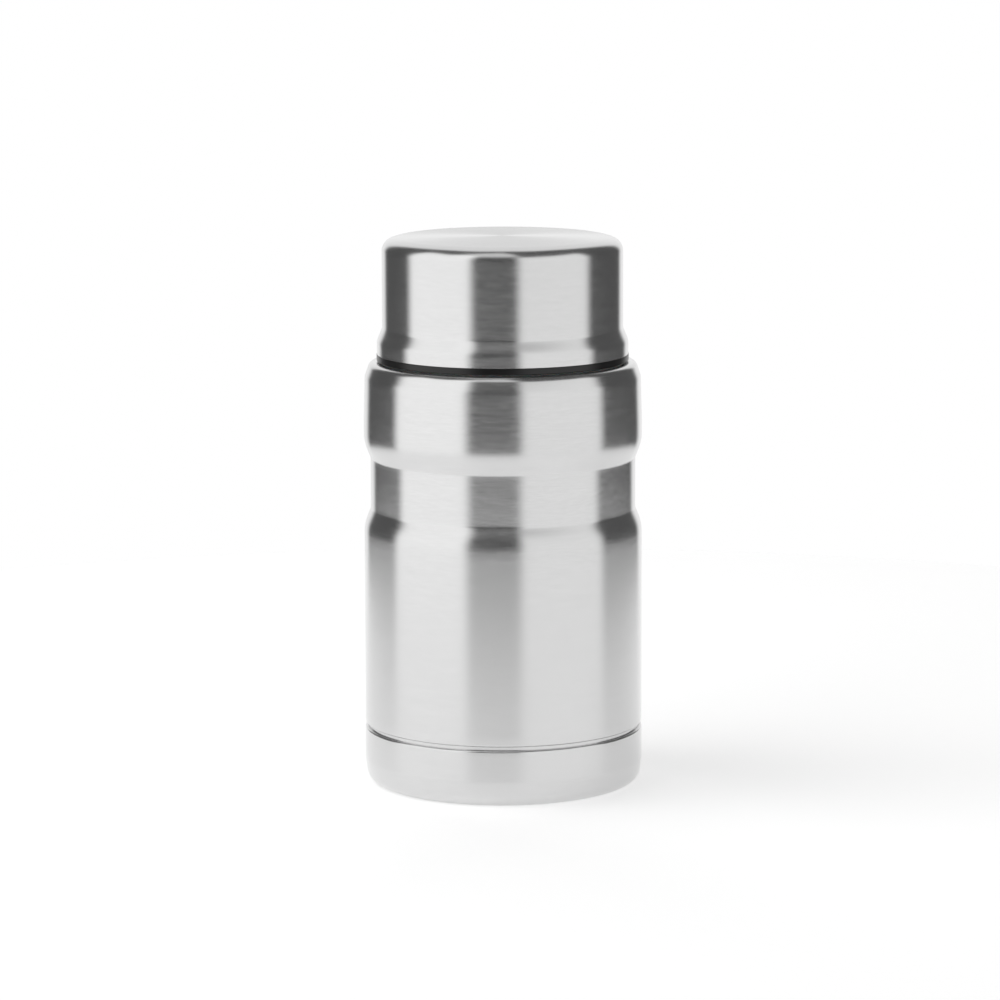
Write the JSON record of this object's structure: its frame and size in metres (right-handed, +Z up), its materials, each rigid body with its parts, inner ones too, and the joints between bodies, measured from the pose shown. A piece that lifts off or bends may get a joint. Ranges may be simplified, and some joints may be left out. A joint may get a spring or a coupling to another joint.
{
  "type": "insulated food jar",
  "caption": "Wide-mouth vacuum food jar of brushed steel with a narrowed waist, a black collar ring, a screw stopper with a vent button and a screw-on lid that doubles as a bowl.",
  "frame": {"origin": "centre of the foot, on the surface that the jar stands on", "axes": "+Z up along the jar's axis; the jar is round, and -Y is taken as the front"},
  "size_m": [0.1002, 0.1002, 0.1982],
  "materials": {
    "brushed_steel": "fine brushed, round the axis",
    "satin_steel": "electropolished satin",
    "mill_steel": "mill finish",
    "spring_steel": "bright wire",
    "black_plastic": "fine moulded grain",
    "grey_plastic": "smooth moulded",
    "silicone": "translucent satin",
    "white_foam": "expanded beads",
    "solder": "melted bead",
    "getter_metal": "pressed powder"
  },
  "bodies": {
    "jar": {"outer_shell": "brushed_steel", "base_cup": "brushed_steel", "inner_liner": "satin_steel", "vacuum_bottom": "mill_steel", "vacuum_seal_bead": "solder", "getter_pellet": "getter_metal", "getter_clip": "mill_steel"},
    "lid_gasket": {"lid_seal": "silicone"},
    "lid": {"lid_outer_cup": "brushed_steel", "lid_inner_cup": "satin_steel", "lid_collar": "black_plastic"},
    "stopper_gasket": {"stopper_seal": "silicone"},
    "stopper": {"stopper_body": "black_plastic", "stopper_foam": "white_foam", "stopper_base": "black_plastic", "vent_spring": "spring_steel"},
    "vent": {"vent_button": "grey_plastic", "vent_stem": "grey_plastic", "vent_valve": "silicone", "vent_clip": "spring_steel"}
  },
  "joints": [
    {"name": "lid_lift", "type": "slide", "parent": "jar", "child": "lid_gasket", "axis": [0, 0, 1], "range_m": [0, 0.0241]},
    {"name": "lid_turn", "type": "hinge", "parent": "lid_gasket", "child": "lid", "pos_m": [0, 0, 0.16], "axis": [0, 0, 1], "range_deg": [0, 1080]},
    {"name": "stopper_lift", "type": "slide", "parent": "jar", "child": "stopper_gasket", "axis": [0, 0, 1], "range_m": [0, 0.0181]},
    {"name": "stopper_turn", "type": "hinge", "parent": "stopper_gasket", "child": "stopper", "pos_m": [0, 0, 0.16], "axis": [0, 0, 1], "range_deg": [0, 810]},
    {"name": "vent_press", "type": "slide", "parent": "stopper", "child": "vent", "axis": [0, 0, -1], "range_m": [0, 0.002], "stiffness_N_per_m": 400, "springref_m": -0.0015, "deforming": ["vent_spring"]}
  ],
  "couplings": [
    {"joint": "lid_lift", "follows": "lid_turn", "m_per_rad": 0.0012732},
    {"joint": "stopper_lift", "follows": "stopper_turn", "m_per_rad": 0.0012732}
  ]
}
